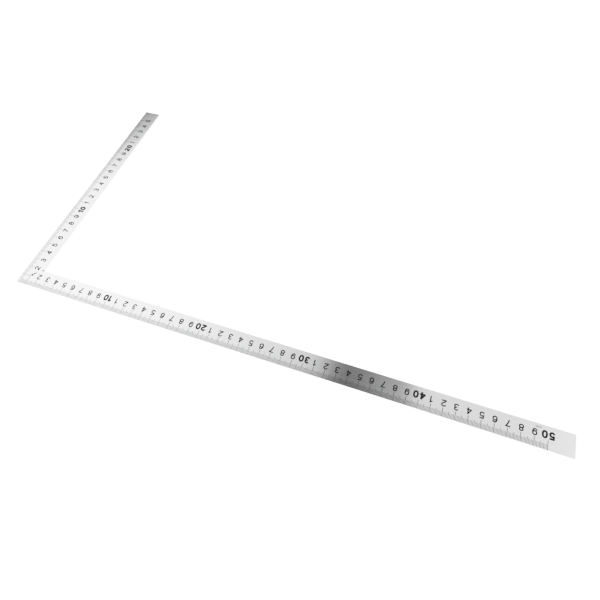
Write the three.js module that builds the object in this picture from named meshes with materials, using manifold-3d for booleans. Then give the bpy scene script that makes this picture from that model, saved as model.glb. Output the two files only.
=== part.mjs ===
// Steel square ruler: a flat L of two stainless strips, a long arm and a short
// arm, joined flush at the heel. Millimetres, +Z up.
//
// Frame: the origin is the outer heel corner on the underside, where both
// scales start from zero. +X runs along the long arm's outer edge, +Y along
// the short arm's outer edge, and +Z is out of the graduated face.

import * as THREE from 'three';
import { mergeVertices } from 'three/addons/utils/BufferGeometryUtils.js';
import Module from 'manifold-3d';

// ---- driving dimensions (mm) ----
const LONG_LENGTH = 520;    // outer heel corner to the long arm's tip
const SHORT_LENGTH = 265;   // outer heel corner to the short arm's tip
const BLADE_WIDTH = 19;     // both arms
const THICKNESS = 1.4;      // both arms, faces flush
const EDGE_EASE = 0.15;     // 45 degree break along every long edge
const CORNER_R = 1.0;       // rounding of the four tip corners and the heel
const RELIEF_R = 1.1;       // corner relief at the inside corner
const ARC_STEPS = 6;        // segments in each rounded corner
const RELIEF_STEPS = 32;    // sides of the relief's circle

// Each arm's colour, roughness and metalness: satin stainless steel.
const STEEL_LONG = { color: 0xc9cbcd, roughness: 0.34, metalness: 1.0 };
const STEEL_SHORT = { color: 0xc6c8ca, roughness: 0.36, metalness: 1.0 };

const wasm = await Module();
wasm.setup();

// A closed three.js geometry as a manifold solid, on positions only.
function solid(geometry) {
  const g = geometry.clone();
  for (const name of Object.keys(g.attributes)) {
    if (name !== 'position') g.deleteAttribute(name);
  }
  const merged = mergeVertices(g, 1e-5);
  return new wasm.Manifold(new wasm.Mesh({
    numProp: 3,
    vertProperties: new Float32Array(merged.attributes.position.array),
    triVerts: new Uint32Array(merged.index.array),
  }));
}

// A manifold solid back as a flat-shaded three.js geometry.
function geometryOf(manifold) {
  const mesh = manifold.getMesh();
  const g = new THREE.BufferGeometry();
  g.setAttribute('position', new THREE.BufferAttribute(new Float32Array(mesh.vertProperties), 3));
  g.setIndex(new THREE.BufferAttribute(new Uint32Array(mesh.triVerts), 1));
  g.computeVertexNormals();
  return g;
}

// An axis-aligned box between two corners.
function boxBetween(lo, hi) {
  const g = new THREE.BoxGeometry(hi[0] - lo[0], hi[1] - lo[1], hi[2] - lo[2]);
  g.translate((lo[0] + hi[0]) / 2, (lo[1] + hi[1]) / 2, (lo[2] + hi[2]) / 2);
  return g;
}

// The outline of the whole square, counter-clockwise from the heel. The heel
// and the four tip corners are rounded; the inside corner is sharp and is
// opened by the relief.
function squareOutline() {
  const L = LONG_LENGTH, S = SHORT_LENGTH, W = BLADE_WIDTH, r = CORNER_R;
  const s = new THREE.Shape();
  s.moveTo(r, 0);
  s.lineTo(L - r, 0);
  s.absarc(L - r, r, r, -Math.PI / 2, 0, false);
  s.lineTo(L, W - r);
  s.absarc(L - r, W - r, r, 0, Math.PI / 2, false);
  s.lineTo(W, W);
  s.lineTo(W, S - r);
  s.absarc(W - r, S - r, r, 0, Math.PI / 2, false);
  s.lineTo(r, S);
  s.absarc(r, S - r, r, Math.PI / 2, Math.PI, false);
  s.lineTo(0, r);
  s.absarc(r, r, r, Math.PI, 1.5 * Math.PI, false);
  return s;
}

// The plate, with its edges broken inside the outline, standing on Z = 0.
const plateGeometry = new THREE.ExtrudeGeometry(squareOutline(), {
  depth: THICKNESS - 2 * EDGE_EASE,
  curveSegments: ARC_STEPS,
  bevelEnabled: true,
  bevelThickness: EDGE_EASE,
  bevelSize: EDGE_EASE,
  bevelOffset: -EDGE_EASE,
  bevelSegments: 1,
});
plateGeometry.translate(0, 0, EDGE_EASE);

// The relief at the inside corner, right through the plate.
const reliefGeometry = new THREE.CylinderGeometry(
  RELIEF_R, RELIEF_R, THICKNESS + 2, RELIEF_STEPS);
reliefGeometry.rotateX(Math.PI / 2);
reliefGeometry.translate(BLADE_WIDTH, BLADE_WIDTH, THICKNESS / 2);

const plate = solid(plateGeometry).subtract(solid(reliefGeometry));

// The long arm runs the full length and holds the heel. The short arm is
// butted on its inner edge, face to face on the plane Y = BLADE_WIDTH.
const longArm = plate.intersect(solid(boxBetween(
  [-2, -2, -1], [LONG_LENGTH + 2, BLADE_WIDTH, THICKNESS + 1])));
const shortArm = plate.intersect(solid(boxBetween(
  [-2, BLADE_WIDTH, -1], [BLADE_WIDTH + 2, SHORT_LENGTH + 2, THICKNESS + 1])));

function piece(name, manifold, look) {
  const mesh = new THREE.Mesh(geometryOf(manifold), new THREE.MeshStandardMaterial(look));
  mesh.name = name;
  return mesh;
}

const square = new THREE.Group();
square.add(piece('long_arm', longArm, STEEL_LONG));
square.add(piece('short_arm', shortArm, STEEL_SHORT));

export default square;
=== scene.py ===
"""Steel carpenter's square: the CAD blade as the frame, its black scales as thin solids, brushed-steel and ink materials, a soft white tent."""

import math

import bpy
import numpy as np
from mathutils import Matrix, Vector
from mathutils.geometry import delaunay_2d_cdt


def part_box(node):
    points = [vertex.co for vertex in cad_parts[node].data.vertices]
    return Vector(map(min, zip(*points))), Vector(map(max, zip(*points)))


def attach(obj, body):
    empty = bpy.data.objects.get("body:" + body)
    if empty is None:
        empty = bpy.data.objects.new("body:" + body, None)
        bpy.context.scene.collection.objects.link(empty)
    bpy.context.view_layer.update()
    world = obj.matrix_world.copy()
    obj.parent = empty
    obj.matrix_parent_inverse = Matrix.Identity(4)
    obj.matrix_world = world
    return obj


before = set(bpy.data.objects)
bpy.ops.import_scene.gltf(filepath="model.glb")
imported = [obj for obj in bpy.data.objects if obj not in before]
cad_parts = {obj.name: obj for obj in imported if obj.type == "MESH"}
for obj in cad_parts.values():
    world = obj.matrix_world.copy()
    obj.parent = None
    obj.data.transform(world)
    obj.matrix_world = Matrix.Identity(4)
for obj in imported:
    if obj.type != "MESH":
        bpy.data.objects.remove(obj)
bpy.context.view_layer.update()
long_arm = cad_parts["long_arm"]
short_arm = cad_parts["short_arm"]
scene = bpy.context.scene

MM = 0.001
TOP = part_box("long_arm")[1].z / MM  # graduated face
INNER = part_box("long_arm")[1].y  # both arms' inner edges, and the middle of the relief where they meet

# ---------------------------------------------------------------- scales, mm
LONG_SCALE = 500  # last graduation of each arm
SHORT_SCALE = 250
EDGE_START = 0.17  # graduations start where the eased edge ends
MM_TICK, HALF_TICK, CM_TICK = 4.45, 5.7, 7.6
LONG_WIDTHS = {"mm": 0.24, "half_cm": 0.28, "cm": 0.35}  # line widths of each scale
SHORT_WIDTHS = {"mm": 0.18, "half_cm": 0.22, "cm": 0.29}
CORNER_TICK = 10.0  # the two first centimetre lines run on until they meet
MITRE = 0.35  # short graduations stop this far from the heel's diagonal
DIGIT_H, DIGIT_T, DIGIT_MID = 5.6, 0.90, 11.3
TENS_H, TENS_MID, TENS_GAP = 6.3, 11.75, 1.0
TENS_T = {"long": 1.38, "short": 1.50}
CORNER_ONE = 12.5
UNIT_H, UNIT_T, UNIT_X, UNIT_MID = 1.5, 0.26, 492.5, 16.15
INK_LOW, INK_HIGH = TOP - 0.015, TOP + 0.02  # the fill sits just proud of the etched line


# ---------------------------------------------------------------- numerals
def arc(cx, cy, rx, ry, a0, a1, n=30, e=2.0):
    """Points of an ellipse, or of a squarer curve for e above 2, from angle a0 to a1 in degrees."""
    t = np.radians(np.linspace(a0, a1, n))
    c, s = np.cos(t), np.sin(t)
    x = cx + rx * np.sign(c) * np.abs(c) ** (2 / e)
    y = cy + ry * np.sign(s) * np.abs(s) ** (2 / e)
    return np.stack([x, y], 1)


def bezier(p0, p1, p2, p3, n=20):
    t = np.linspace(0, 1, n)[:, None]
    p0, p1, p2, p3 = (np.array(p, float) for p in (p0, p1, p2, p3))
    return (1 - t) ** 3 * p0 + 3 * (1 - t) ** 2 * t * p1 + 3 * (1 - t) * t * t * p2 + t**3 * p3


def strokes(ch, H, t):
    """(strokes, outer width) of a character. Each stroke is (points, closed), on a centre line inset by half the stroke."""
    widths = {"0": 0.70, "1": 0.36, "2": 0.69, "3": 0.67, "4": 0.73, "5": 0.68, "6": 0.69, "7": 0.68, "8": 0.69, "9": 0.69}
    if ch == "c":
        W = 0.92 * H
        w, h = W - t, H - t
        return [(arc(w / 2, h / 2, w / 2, h / 2, 52, 308), False)], W
    if ch == "m":
        W = 1.62 * H
        w, h = W - t, H - t
        r = w / 4
        left = np.vstack([arc(r, h - r, r, r, 180, 0, 16), [[2 * r, -t / 2]]])
        right = np.vstack([arc(3 * r, h - r, r, r, 180, 0, 16), [[4 * r, -t / 2]]])
        return [(np.array([[0, h + t / 2], [0, -t / 2]]), False), (left, False), (right, False)], W
    W = widths[ch] * H
    if ch == "1":
        W = 1.15 * t + 0.19 * H
    w, h = W - t, H - t
    if ch == "0":
        return [(arc(w / 2, h / 2, w / 2, h / 2, 0, 360, 61, 2.35)[:-1], True)], W
    if ch == "1":
        stem = np.array([[w, h + t / 2], [w, -t / 2]])
        flag = bezier([-t / 2, h - 0.19 * h], [0.45 * w, h - 0.18 * h], [0.9 * w, h - 0.10 * h], [w, h + 0.3 * t], 12)
        return [(stem, False), (flag, False)], W
    if ch == "2":
        top = arc(w / 2, 0.71 * h, w / 2, 0.29 * h, 172, -12, 30)
        tail = bezier(top[-1], [0.90 * w, 0.44 * h], [0.10 * w, 0.30 * h], [0.0, 0.0], 22)
        return [(np.vstack([top, tail[1:]]), False), (np.array([[-t / 2, 0], [w + t / 2, 0]]), False)], W
    if ch == "3":
        up = arc(0.47 * w, 0.755 * h, 0.47 * w, 0.245 * h, 160, -90, 30)
        low = arc(0.47 * w, 0.265 * h, 0.53 * w, 0.265 * h, 90, -165, 34)
        bar = np.array([[0.30 * w, 0.52 * h], [0.50 * w, 0.52 * h]])
        up[:, 1] = np.where(up[:, 1] < 0.52 * h, 0.52 * h, up[:, 1])
        return [(up, False), (low, False), (bar, False)], W
    if ch == "4":
        bar = np.array([[-t / 2, 0.26 * h], [w + t / 2, 0.26 * h]])
        stem = np.array([[0.74 * w, h + t / 2], [0.74 * w, -t / 2]])
        slope = np.array([[0.74 * w, h], [0.0, 0.26 * h]])
        return [(bar, False), (stem, False), (slope, False)], W
    if ch == "5":
        bar = np.array([[0.10 * w - t / 2, h], [0.90 * w + t / 2, h]])
        side = np.array([[0.12 * w, h + t / 2], [0.03 * w, 0.46 * h]])
        bowl = arc(0.47 * w, 0.32 * h, 0.53 * w, 0.32 * h, 148, -162, 40)
        return [(bar, False), (side, False), (bowl, False)], W
    if ch in "69":
        loop = arc(w / 2, 0.32 * h, w / 2, 0.32 * h, 0, 360, 49)[:-1]
        back = np.vstack([[[0.0, 0.32 * h]], arc(0.53 * w, 0.50 * h, 0.53 * w, 0.50 * h, 180, 28, 34)])
        both = [(loop, True), (back, False)]
        if ch == "9":
            both = [(np.array([w, h]) - p, closed) for p, closed in both]
        return both, W
    if ch == "7":
        bar = np.array([[-t / 2, h], [w + t / 2, h]])
        fall = bezier([w, h], [0.62 * w, 0.66 * h], [0.34 * w, 0.36 * h], [0.29 * w, -t / 2], 18)
        return [(bar, False), (fall, False)], W
    if ch == "8":
        up = arc(w / 2, 0.755 * h, 0.43 * w, 0.245 * h, 0, 360, 45)[:-1]
        low = arc(w / 2, 0.27 * h, 0.50 * w, 0.27 * h, 0, 360, 49)[:-1]
        return [(up, True), (low, True)], W
    raise ValueError(ch)


def stroke_distance(P, pts, closed, t):
    """Signed distance from each of the points P to a stroke of thickness t with square ends."""
    a = pts if closed else pts[:-1]
    b = np.roll(pts, -1, 0) if closed else pts[1:]
    d = np.full(len(P), 1e9)
    for p, q in zip(a, b):
        v = q - p
        n = float(v @ v)
        if n < 1e-12:
            continue
        s = np.clip((P - p) @ v / n, 0, 1)[:, None]
        d = np.minimum(d, np.linalg.norm(P - p - s * v, axis=1))
    d -= t / 2
    if not closed:
        for end, inner in ((pts[0], pts[1]), (pts[-1], pts[-2])):
            n = (end - inner) / np.linalg.norm(end - inner)
            over = (P - end) @ n
            near = np.linalg.norm(P - end, axis=1) < 0.85 * t
            d = np.where(near & (over > 0), np.maximum(d, over), d)
    return d


def contour(F, x0, y0, g):
    """Closed loops round the inside (F below 0) of a sampled field, inside on the left."""
    nxt, pts = {}, {}

    def hor(i, j):
        a, b = F[i, j], F[i, j + 1]
        pts[(0, i, j)] = (x0 + (j + a / (a - b)) * g, y0 + i * g)
        return (0, i, j)

    def ver(i, j):
        a, b = F[i, j], F[i + 1, j]
        pts[(1, i, j)] = (x0 + j * g, y0 + (i + a / (a - b)) * g)
        return (1, i, j)

    S = (F < 0).astype(int)
    code = S[:-1, :-1] + 2 * S[:-1, 1:] + 4 * S[1:, 1:] + 8 * S[1:, :-1]
    for i, j in zip(*np.nonzero((code > 0) & (code < 15))):
        c = int(code[i, j])
        mid = F[i, j] + F[i, j + 1] + F[i + 1, j] + F[i + 1, j + 1] < 0
        runs = {
            1: ["BL"], 2: ["RB"], 3: ["RL"], 4: ["TR"], 6: ["TB"], 7: ["TL"], 8: ["LT"], 9: ["BT"],
            11: ["RT"], 12: ["LR"], 13: ["BR"], 14: ["LB"],
            5: ["BR", "TL"] if mid else ["BL", "TR"],
            10: ["LB", "RT"] if mid else ["RB", "LT"],
        }[c]
        for run in runs:
            key = []
            for side in run:
                if side == "B":
                    key.append(hor(i, j))
                elif side == "T":
                    key.append(hor(i + 1, j))
                elif side == "L":
                    key.append(ver(i, j))
                else:
                    key.append(ver(i, j + 1))
            nxt[key[0]] = key[1]
    loops = []
    while nxt:
        start = next(iter(nxt))
        loop, k = [], start
        while k in nxt:
            loop.append(pts[k])
            k = nxt.pop(k)
        loops.append(np.array(loop))
    return loops


def simplify(loop, tol):
    """The loop with every point that lies within tol of its neighbours' line left out."""

    def keep(a, b):
        if b <= a + 1:
            return []
        p, q = closed[a], closed[b]
        v = q - p
        length = np.linalg.norm(v)
        seg = closed[a + 1 : b]
        if length < 1e-9:
            off = np.linalg.norm(seg - p, axis=1)
        else:
            off = np.abs((seg[:, 0] - p[0]) * v[1] - (seg[:, 1] - p[1]) * v[0]) / length
        k = int(off.argmax())
        if off[k] <= tol:
            return []
        k += a + 1
        return keep(a, k) + [k] + keep(k, b)

    closed = np.vstack([loop, loop[:1]])
    far = int(np.linalg.norm(loop - loop[0], axis=1).argmax())
    idx = [0] + keep(0, far) + [far] + keep(far, len(loop))
    return closed[idx]


def glyph(ch, H, t):
    """(2-D points, triangles) of a character centred on its own box, and its outer width."""
    lines, W = strokes(ch, H, t)
    g = min(t / 11, 0.06)
    x0, y0 = -t / 2 - 3 * g, -t / 2 - 3 * g
    nx, ny = int((W + 6 * g) / g) + 2, int((H + 6 * g) / g) + 2
    X, Y = np.meshgrid(x0 + np.arange(nx) * g, y0 + np.arange(ny) * g)
    P = np.stack([X.ravel(), Y.ravel()], 1)
    D = np.full(len(P), 1e9)
    for pts, closed in lines:
        D = np.minimum(D, stroke_distance(P, np.asarray(pts, float), closed, t))
    outer = np.maximum.reduce([-t / 2 - P[:, 0], P[:, 0] - (W - t / 2), -t / 2 - P[:, 1], P[:, 1] - (H - t / 2)])
    D = np.maximum(D, outer)
    D = np.where(np.abs(D) < 1e-6, 1e-6, D).reshape(ny, nx)
    loops = [simplify(l, g * 0.14) for l in contour(D, x0, y0, g) if len(l) > 8]
    verts, edges = [], []
    for l in loops:
        k = len(verts)
        verts += [tuple(p) for p in l]
        edges += [(k + i, k + (i + 1) % len(l)) for i in range(len(l))]
    out = delaunay_2d_cdt([tuple(v) for v in verts], edges, [], 1, 1e-7)
    co = np.array([tuple(v) for v in out[0]])
    A = np.vstack(loops)
    B = np.vstack([np.roll(l, -1, 0) for l in loops])
    tris = []
    for face in out[2]:
        c = co[list(face)].mean(0)
        up = (A[:, 1] > c[1]) != (B[:, 1] > c[1])
        x = A[up, 0] + (c[1] - A[up, 1]) * (B[up, 0] - A[up, 0]) / (B[up, 1] - A[up, 1])
        if (x > c[0]).sum() % 2:
            p, q, r = co[list(face)]
            area = (q[0] - p[0]) * (r[1] - p[1]) - (q[1] - p[1]) * (r[0] - p[0])
            tris.append(tuple(face) if area > 0 else tuple(face)[::-1])
    co = co - np.array([W / 2 - t / 2, H / 2 - t / 2])
    return co, tris, W


_glyphs = {}


def cached(ch, H, t):
    if (ch, H, t) not in _glyphs:
        _glyphs[(ch, H, t)] = glyph(ch, H, t)
    return _glyphs[(ch, H, t)]


class Solids:
    """Gathers closed thin solids, in mm, into one mesh."""

    def __init__(self):
        self.verts, self.faces = [], []

    def plate(self, co, tris, z0=INK_LOW, z1=INK_HIGH):
        """A flat shape given as points and counter-clockwise triangles, from z0 up to z1."""
        used = sorted({i for f in tris for i in f})
        index = {v: i for i, v in enumerate(used)}
        n, k = len(used), len(self.verts)
        self.verts += [(co[v][0], co[v][1], z0) for v in used] + [(co[v][0], co[v][1], z1) for v in used]
        directed = set()
        for f in tris:
            f = [index[v] for v in f]
            self.faces.append(tuple(k + n + v for v in f))
            self.faces.append(tuple(k + v for v in reversed(f)))
            directed |= {(f[i], f[(i + 1) % len(f)]) for i in range(len(f))}
        for a, b in directed:
            if (b, a) not in directed:
                self.faces.append((k + a, k + b, k + n + b, k + n + a))

    def bar(self, x0, y0, x1, y1):
        self.plate([(x0, y0), (x1, y0), (x1, y1), (x0, y1)], [(0, 1, 2, 3)])

    def letter(self, ch, H, t, cx, cy, right, up):
        """A character centred at (cx, cy), its reading direction and its top given as unit vectors."""
        co, tris, _ = cached(ch, H, t)
        r, u = np.array(right, float), np.array(up, float)
        self.plate(np.array([cx, cy]) + co[:, :1] * r + co[:, 1:] * u, tris)

    def piece(self, name, material):
        mesh = bpy.data.meshes.new(name)
        mesh.from_pydata([tuple(c * MM for c in v) for v in self.verts], [], self.faces)
        mesh.validate()
        mesh.update()
        mesh.materials.append(material)
        obj = bpy.data.objects.new(name, mesh)
        scene.collection.objects.link(obj)
        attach(obj, "root")
        return obj


# ---------------------------------------------------------------- materials
def node(tree, kind, **inputs):
    n = tree.nodes.new(kind)
    for key, value in inputs.items():
        n.inputs[key].default_value = value
    return n


def maths(tree, op, a, b=None, clamp=False):
    n = tree.nodes.new("ShaderNodeMath")
    n.operation = op
    n.use_clamp = clamp
    for i, v in enumerate((a, b)):
        if v is None:
            continue
        if isinstance(v, (int, float)):
            n.inputs[i].default_value = v
        else:
            tree.links.new(v, n.inputs[i])
    return n.outputs[0]


def remap(tree, value, a, b, c, d, smooth=False):
    n = tree.nodes.new("ShaderNodeMapRange")
    if smooth:
        n.interpolation_type = "SMOOTHSTEP"
    tree.links.new(value, n.inputs["Value"])
    for key, v in zip(("From Min", "From Max", "To Min", "To Max"), (a, b, c, d)):
        n.inputs[key].default_value = v
    return n.outputs["Result"]


def noise(tree, vector, scale, stretch=(1, 1, 1), detail=2.0, rough=0.5):
    m = tree.nodes.new("ShaderNodeMapping")
    m.inputs["Scale"].default_value = stretch
    tree.links.new(vector, m.inputs["Vector"])
    n = tree.nodes.new("ShaderNodeTexNoise")
    n.inputs["Scale"].default_value = scale
    n.inputs["Detail"].default_value = detail
    n.inputs["Roughness"].default_value = rough
    tree.links.new(m.outputs["Vector"], n.inputs["Vector"])
    return n.outputs["Fac"]


def mix_colour(tree, fac, a, b):
    n = tree.nodes.new("ShaderNodeMix")
    n.data_type = "RGBA"
    tree.links.new(fac, n.inputs["Factor"])
    for key, v in ((6, a), (7, b)):
        if isinstance(v, tuple):
            n.inputs[key].default_value = v
        else:
            tree.links.new(v, n.inputs[key])
    return n.outputs[2]


def steel():
    """Satin sheet steel, its grain along the long arm, the way the sheet was finished before it was cut."""
    m = bpy.data.materials.new("brushed_blade_steel")
    m.use_nodes = True
    t = m.node_tree
    t.nodes.clear()
    out = t.nodes.new("ShaderNodeOutputMaterial")
    bsdf = t.nodes.new("ShaderNodeBsdfPrincipled")
    t.links.new(bsdf.outputs["BSDF"], out.inputs["Surface"])
    tc = t.nodes.new("ShaderNodeTexCoord")
    pos = tc.outputs["Object"]

    fine = noise(t, pos, 1.0, (28, 5200, 5200), 2.0, 0.6)  # hair lines 0.2 mm wide, 40 mm long
    broad = noise(t, pos, 1.0, (7, 900, 900), 3.0, 0.6)  # soft streaks over a millimetre wide
    cloud = noise(t, pos, 16.0, (1, 1, 1), 3.0, 0.55)  # handling, unevenly polished areas
    speck = noise(t, pos, 620.0, (0.5, 1, 1), 2.0, 0.5)  # tiny pits

    # distance to the blade's outer edges, in metres, for the worn rim
    sep = t.nodes.new("ShaderNodeSeparateXYZ")
    t.links.new(pos, sep.inputs[0])
    edge = maths(t, "MINIMUM", sep.outputs["X"], sep.outputs["Y"])
    rim = remap(t, edge, 0.0001, 0.0006, 1.0, 0.0, True)

    grain = maths(t, "ADD", maths(t, "MULTIPLY", fine, 0.6), maths(t, "MULTIPLY", broad, 0.4))
    tone = remap(t, grain, 0.32, 0.68, 0.0, 1.0)
    base = mix_colour(t, tone, (0.735, 0.738, 0.742, 1), (0.785, 0.787, 0.789, 1))
    patch = remap(t, cloud, 0.35, 0.70, 0.0, 0.16)
    base = mix_colour(t, patch, base, (0.70, 0.703, 0.708, 1))
    pits = remap(t, speck, 0.70, 0.78, 0.0, 0.35)
    base = mix_colour(t, pits, base, (0.46, 0.46, 0.46, 1))
    base = mix_colour(t, maths(t, "MULTIPLY", rim, 0.5), base, (0.83, 0.83, 0.83, 1))

    # the wall of the punched relief at the inside corner: unpolished and rougher, and its colour darkened as painted
    # shade for the shade inside the hole
    across = t.nodes.new("ShaderNodeVectorMath")
    across.operation = "DISTANCE"
    flat = t.nodes.new("ShaderNodeCombineXYZ")
    t.links.new(sep.outputs["X"], flat.inputs["X"])
    t.links.new(sep.outputs["Y"], flat.inputs["Y"])
    t.links.new(flat.outputs[0], across.inputs[0])
    across.inputs[1].default_value = (INNER, INNER, 0.0)
    facing = t.nodes.new("ShaderNodeSeparateXYZ")
    t.links.new(tc.outputs["Normal"], facing.inputs[0])
    relief_painted_shade = maths(t, "LESS_THAN", maths(t, "ABSOLUTE", facing.outputs["Z"]), 0.5)
    relief_painted_shade = maths(t, "MULTIPLY", relief_painted_shade, maths(t, "LESS_THAN", across.outputs["Value"], 0.0013))
    # painted shade: the relief's wall darkened to stand for the shade in the hole
    base = mix_colour(t, relief_painted_shade, base, (0.36, 0.36, 0.36, 1))
    t.links.new(base, bsdf.inputs["Base Color"])

    rough = remap(t, grain, 0.30, 0.70, 0.138, 0.173)
    rough = maths(t, "ADD", rough, remap(t, cloud, 0.35, 0.70, -0.012, 0.022))
    rough = maths(t, "SUBTRACT", rough, maths(t, "MULTIPLY", rim, 0.03))
    rough = maths(t, "ADD", rough, maths(t, "MULTIPLY", relief_painted_shade, 0.35))
    t.links.new(rough, bsdf.inputs["Roughness"])

    bump = t.nodes.new("ShaderNodeBump")
    bump.inputs["Strength"].default_value = 0.10
    bump.inputs["Distance"].default_value = 0.00002
    t.links.new(grain, bump.inputs["Height"])
    t.links.new(bump.outputs["Normal"], bsdf.inputs["Normal"])

    tangent = t.nodes.new("ShaderNodeTangent")
    tangent.direction_type = "RADIAL"
    tangent.axis = "X"
    t.links.new(tangent.outputs["Tangent"], bsdf.inputs["Tangent"])
    bsdf.inputs["Metallic"].default_value = 1.0
    bsdf.inputs["Anisotropic"].default_value = 0.7
    return m


def ink():
    """Black fill in the etched lines: matt, a little uneven, rubbed grey in places."""
    m = bpy.data.materials.new("black_scale_fill")
    m.use_nodes = True
    t = m.node_tree
    t.nodes.clear()
    out = t.nodes.new("ShaderNodeOutputMaterial")
    bsdf = t.nodes.new("ShaderNodeBsdfPrincipled")
    t.links.new(bsdf.outputs["BSDF"], out.inputs["Surface"])
    pos = t.nodes.new("ShaderNodeTexCoord").outputs["Object"]
    mottle = noise(t, pos, 900.0, (1, 1, 1), 3.0, 0.6)
    rub = noise(t, pos, 1.0, (60, 1500, 1500), 3.0, 0.6)
    wear = noise(t, pos, 24.0, (1, 1, 1), 2.0, 0.5)
    base = mix_colour(t, remap(t, mottle, 0.35, 0.7, 0.0, 1.0), (0.004, 0.004, 0.0043, 1), (0.013, 0.013, 0.0137, 1))
    worn = maths(t, "MULTIPLY", remap(t, rub, 0.60, 0.72, 0.0, 1.0), remap(t, wear, 0.45, 0.7, 0.0, 0.5))
    base = mix_colour(t, worn, base, (0.07, 0.07, 0.072, 1))
    t.links.new(base, bsdf.inputs["Base Color"])
    t.links.new(remap(t, mottle, 0.3, 0.7, 0.42, 0.60), bsdf.inputs["Roughness"])
    bump = t.nodes.new("ShaderNodeBump")
    bump.inputs["Strength"].default_value = 0.25
    bump.inputs["Distance"].default_value = 0.00001
    t.links.new(mottle, bump.inputs["Height"])
    t.links.new(bump.outputs["Normal"], bsdf.inputs["Normal"])
    bsdf.inputs["IOR"].default_value = 1.45
    bsdf.inputs["Specular IOR Level"].default_value = 0.13
    return m


STEEL, INK = steel(), ink()
for obj in (long_arm, short_arm):
    if not obj.data.materials:
        obj.data.materials.append(STEEL)
    for s in obj.material_slots:
        s.material = STEEL

# ---------------------------------------------------------------- graduations
ticks = {(arm, kind): Solids() for arm in ("long", "short") for kind in ("mm", "half_cm", "cm")}
for arm, last, widths in (("long", LONG_SCALE, LONG_WIDTHS), ("short", SHORT_SCALE, SHORT_WIDTHS)):
    for k in range(1, last + 1):
        kind, length = "mm", MM_TICK
        if k % 10 == 0:
            kind, length = "cm", CM_TICK
        elif k % 5 == 0:
            kind, length = "half_cm", HALF_TICK
        width = widths[kind]
        if k == 10 and arm == "long":
            length = CORNER_TICK + SHORT_WIDTHS["cm"] / 2
        elif k == 10:
            length = CORNER_TICK - LONG_WIDTHS["cm"] / 2 - 0.02
        elif k < 10:
            length = min(length, k - MITRE)
        a, b = k - width / 2, k + width / 2
        if arm == "long":
            ticks[arm, kind].bar(a, EDGE_START, b, length)
        else:
            ticks[arm, kind].bar(EDGE_START, a, length, b)
for (arm, kind), solids in ticks.items():
    solids.piece(f"{arm}_arm_{kind}_graduations", INK)

# ---------------------------------------------------------------- numerals
LONG_READS = ((-1, 0), (0, -1))  # reading direction and top of the numbers on each arm
SHORT_READS = ((0, 1), (-1, 0))
for arm, last, (right, up) in (("long", LONG_SCALE, LONG_READS), ("short", SHORT_SCALE, SHORT_READS)):
    ones, tens = Solids(), Solids()
    for k in range(2, last // 10 + 1):
        if k % 10:
            spot = (k * 10, DIGIT_MID) if arm == "long" else (DIGIT_MID, k * 10)
            ones.letter(str(k % 10), DIGIT_H, DIGIT_T, *spot, right, up)
            continue
        widths = [cached(c, TENS_H, TENS_T[arm])[2] for c in str(k)]
        at = -(sum(widths) + TENS_GAP) / 2
        for c, wide in zip(str(k), widths):
            off = at + wide / 2
            at += wide + TENS_GAP
            spot = (k * 10 - off, TENS_MID) if arm == "long" else (TENS_MID, k * 10 + off)
            tens.letter(c, TENS_H, TENS_T[arm], *spot, right, up)
    ones.piece(f"{arm}_arm_numerals", INK)
    tens.piece(f"{arm}_arm_ten_numerals", INK)

s = math.sqrt(0.5)
corner = Solids()
corner.letter("1", DIGIT_H, DIGIT_T, CORNER_ONE, CORNER_ONE, (-s, s), (-s, -s))
corner.piece("heel_numeral_one", INK)

unit = Solids()
wc, wm = cached("c", UNIT_H, UNIT_T)[2], cached("m", UNIT_H, UNIT_T)[2]
gap = 0.35
unit.letter("c", UNIT_H, UNIT_T, UNIT_X + (wm + gap) / 2, UNIT_MID, *LONG_READS)
unit.letter("m", UNIT_H, UNIT_T, UNIT_X - (wc + gap) / 2, UNIT_MID, *LONG_READS)
unit.piece("long_arm_unit_mark", INK)

# ---------------------------------------------------------------- floor
floor_mesh = bpy.data.meshes.new("floor")
F, Z = 9.0, -0.0002
floor_mesh.from_pydata([(-F, -F, Z), (F, -F, Z), (F, F, Z), (-F, F, Z)], [], [(0, 1, 2, 3)])
floor = bpy.data.objects.new("floor", floor_mesh)
scene.collection.objects.link(floor)
paper = bpy.data.materials.new("white_paper")
paper.use_nodes = True
pb = paper.node_tree.nodes["Principled BSDF"]
pb.inputs["Base Color"].default_value = (0.92, 0.92, 0.92, 1)
pb.inputs["Roughness"].default_value = 0.9
pb.inputs["Specular IOR Level"].default_value = 0.1
pb.inputs["Emission Color"].default_value = (1, 1, 1, 1)  # lit from below, so that no shadow shows
pb.inputs["Emission Strength"].default_value = 0.55
floor_mesh.materials.append(paper)

# ---------------------------------------------------------------- light
# How bright the tent is along its length, by x/z of a direction: two panels with a gap between them.
PANELS = [
    (-1.5, 1.60), (-1.0188, 1.60), (-0.9023, 1.55), (-0.7858, 1.50), (-0.6694, 1.42), (-0.5529, 1.32), (-0.4364, 1.20), (-0.349, 1.10),
    (-0.2617, 1.01), (-0.2034, 0.93), (-0.1598, 0.90), (-0.1306, 0.79), (-0.1073, 0.70), (-0.087, 0.28), (-0.0666, 0.18), (-0.0433, 0.155),
    (-0.0142, 0.23), (0.015, 0.32), (0.0441, 0.42), (0.0732, 0.44), (0.0907, 0.40), (0.1052, 0.44), (0.1198, 0.97), (0.1431, 0.95),
    (0.1897, 0.93), (0.2625, 0.95), (0.3353, 0.95), (0.4081, 1.0), (0.4663, 1.15), (1.5, 1.20),
]
# How it falls off towards the ground, by z of a direction,
FALL = [(0.0, 0.80), (0.20, 0.72), (0.42, 0.64), (0.53, 0.72), (0.60, 0.94), (0.64, 1.0), (1.0, 1.0)]
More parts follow.
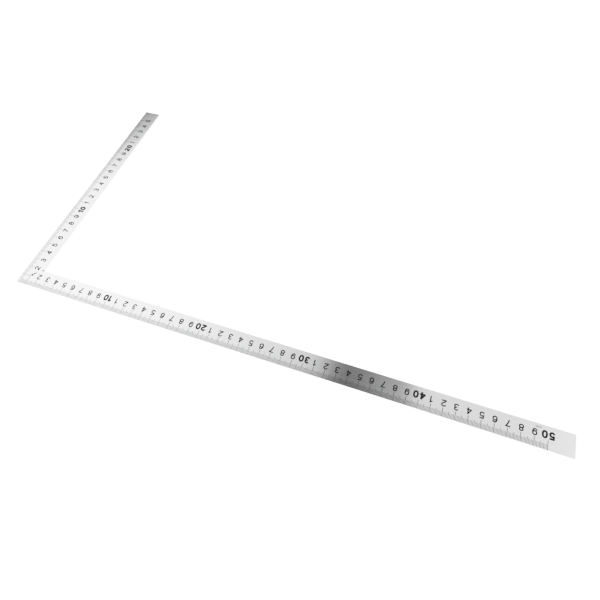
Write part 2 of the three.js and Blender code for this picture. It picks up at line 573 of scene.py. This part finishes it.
# and how dim its far left corner is, in the same way.
CORNER = [
    (0.0, 1.0), (0.38, 1.0), (0.44, 0.05), (0.5660, 0.07), (0.5724, 0.17), (0.578, 0.33), (0.5836, 0.52), (0.5892, 0.75), (0.5948, 1.00),
    (0.6003, 1.22), (0.6059, 1.28), (0.6168, 1.22), (0.6275, 1.10), (0.6378, 1.05), (0.66, 1.02), (0.72, 1.0), (1.0, 1.0),
]


def ramp(tree, value, stops, low, high):
    """A value ramp between low and high, its greys given directly."""
    fac = remap(tree, value, low, high, 0.0, 1.0)
    n = tree.nodes.new("ShaderNodeValToRGB")
    tree.links.new(fac, n.inputs["Fac"])
    e = n.color_ramp.elements
    top = max(v for _, v in stops)
    for i, (x, v) in enumerate(stops):
        p = (x - low) / (high - low)
        el = e[i] if i < 2 else e.new(p)
        el.position = p
        el.color = (v / top, v / top, v / top, 1)
    return maths(tree, "MULTIPLY", n.outputs["Color"], top)


world = bpy.data.worlds.new("white_tent")
scene.world = world
world.use_nodes = True
wt = world.node_tree
wt.nodes.clear()
w_out = wt.nodes.new("ShaderNodeOutputWorld")
back = wt.nodes.new("ShaderNodeBackground")
wt.links.new(back.outputs[0], w_out.inputs["Surface"])
direction = wt.nodes.new("ShaderNodeTexCoord").outputs["Generated"]
xyz = wt.nodes.new("ShaderNodeSeparateXYZ")
wt.links.new(direction, xyz.inputs[0])
height = xyz.outputs["Z"]
high = maths(wt, "MAXIMUM", height, 0.08)
along = maths(wt, "DIVIDE", xyz.outputs["X"], high)
panels = ramp(wt, along, PANELS, -1.5, 1.5)
# the gap is only overhead: it closes well above the horizon
overhead = remap(wt, height, 0.62, 0.76, 0.0, 1.0, True)
panels = maths(wt, "ADD", maths(wt, "MULTIPLY", panels, overhead), maths(wt, "MULTIPLY", maths(wt, "SUBTRACT", 1.0, overhead), remap(wt, along, -1.2, 1.0, 1.40, 1.10)))
turn = maths(wt, "ARCTAN2", xyz.outputs["Y"], maths(wt, "MULTIPLY", xyz.outputs["X"], -1.0))
window = maths(wt, "MULTIPLY", remap(wt, turn, 0.48, 0.60, 0.0, 1.0, True), remap(wt, turn, 0.90, 1.02, 1.0, 0.0, True))
corner_dim = maths(wt, "SUBTRACT", 1.0, maths(wt, "MULTIPLY", window, maths(wt, "SUBTRACT", 1.0, ramp(wt, height, CORNER, 0.0, 1.0))))
level = maths(wt, "MULTIPLY", maths(wt, "MULTIPLY", panels, ramp(wt, height, FALL, 0.0, 1.0)), corner_dim)
# seen directly, past the paper's far edge, the tent is plain white
seen = wt.nodes.new("ShaderNodeLightPath").outputs["Is Camera Ray"]
level = maths(wt, "ADD", maths(wt, "MULTIPLY", seen, 1.25), maths(wt, "MULTIPLY", maths(wt, "SUBTRACT", 1.0, seen), level))
wt.links.new(level, back.inputs["Strength"])
back.inputs["Color"].default_value = (1, 1, 1, 1)


def softbox(name, place, target, size, watts):
    data = bpy.data.lights.new(name, "AREA")
    data.shape, data.size, data.energy = "DISK", size, watts
    obj = bpy.data.objects.new(name, data)
    obj.location = place
    obj.rotation_mode = "QUATERNION"
    obj.rotation_quaternion = (Vector(target) - Vector(place)).to_track_quat("-Z", "Y")
    scene.collection.objects.link(obj)
    return obj


softbox("softbox_back", (1.3, 2.9, 1.7), (0.26, 0.1, 0.0), 1.0, 30.0)
softbox("softbox_front", (-1.2, -2.2, 1.7), (0.26, 0.1, 0.0), 1.0, 24.0)

SHOULDER = [(0.30, 0.30), (0.55, 0.55), (0.83, 0.77), (1.10, 0.905)]

# ---------------------------------------------------------------- camera
cam_data = bpy.data.cameras.new("camera")
cam_data.sensor_fit = "HORIZONTAL"
cam_data.sensor_width = 36.0
cam_data.lens = 25.129
cam_data.clip_start, cam_data.clip_end = 0.01, 60.0
cam = bpy.data.objects.new("camera", cam_data)
right = np.array([0.943320, 0.328378, -0.048111])
down = np.array([0.266378, -0.835603, -0.480426])
ahead = np.cross(right, down)
cam.matrix_world = Matrix(
    [
        [right[0], -down[0], -ahead[0], 0.35486],
        [right[1], -down[1], -ahead[1], -0.10670],
        [right[2], -down[2], -ahead[2], 0.34480],
        [0, 0, 0, 1],
    ]
)
scene.collection.objects.link(cam)
scene.camera = cam

scene.view_settings.view_transform = "Standard"
scene.view_settings.look = "None"
scene.view_settings.exposure = 0.0
scene.view_settings.gamma = 1.0
# a soft shoulder, so that the tent and the paper are white and the bright steel just short of it
scene.view_settings.use_curve_mapping = True
curves = scene.view_settings.curve_mapping
curves.white_level = (1.45, 1.45, 1.45)
for x, y in SHOULDER:
    curves.curves[3].points.new(x / 1.45, y)
curves.update()

bpy.context.view_layer.update()
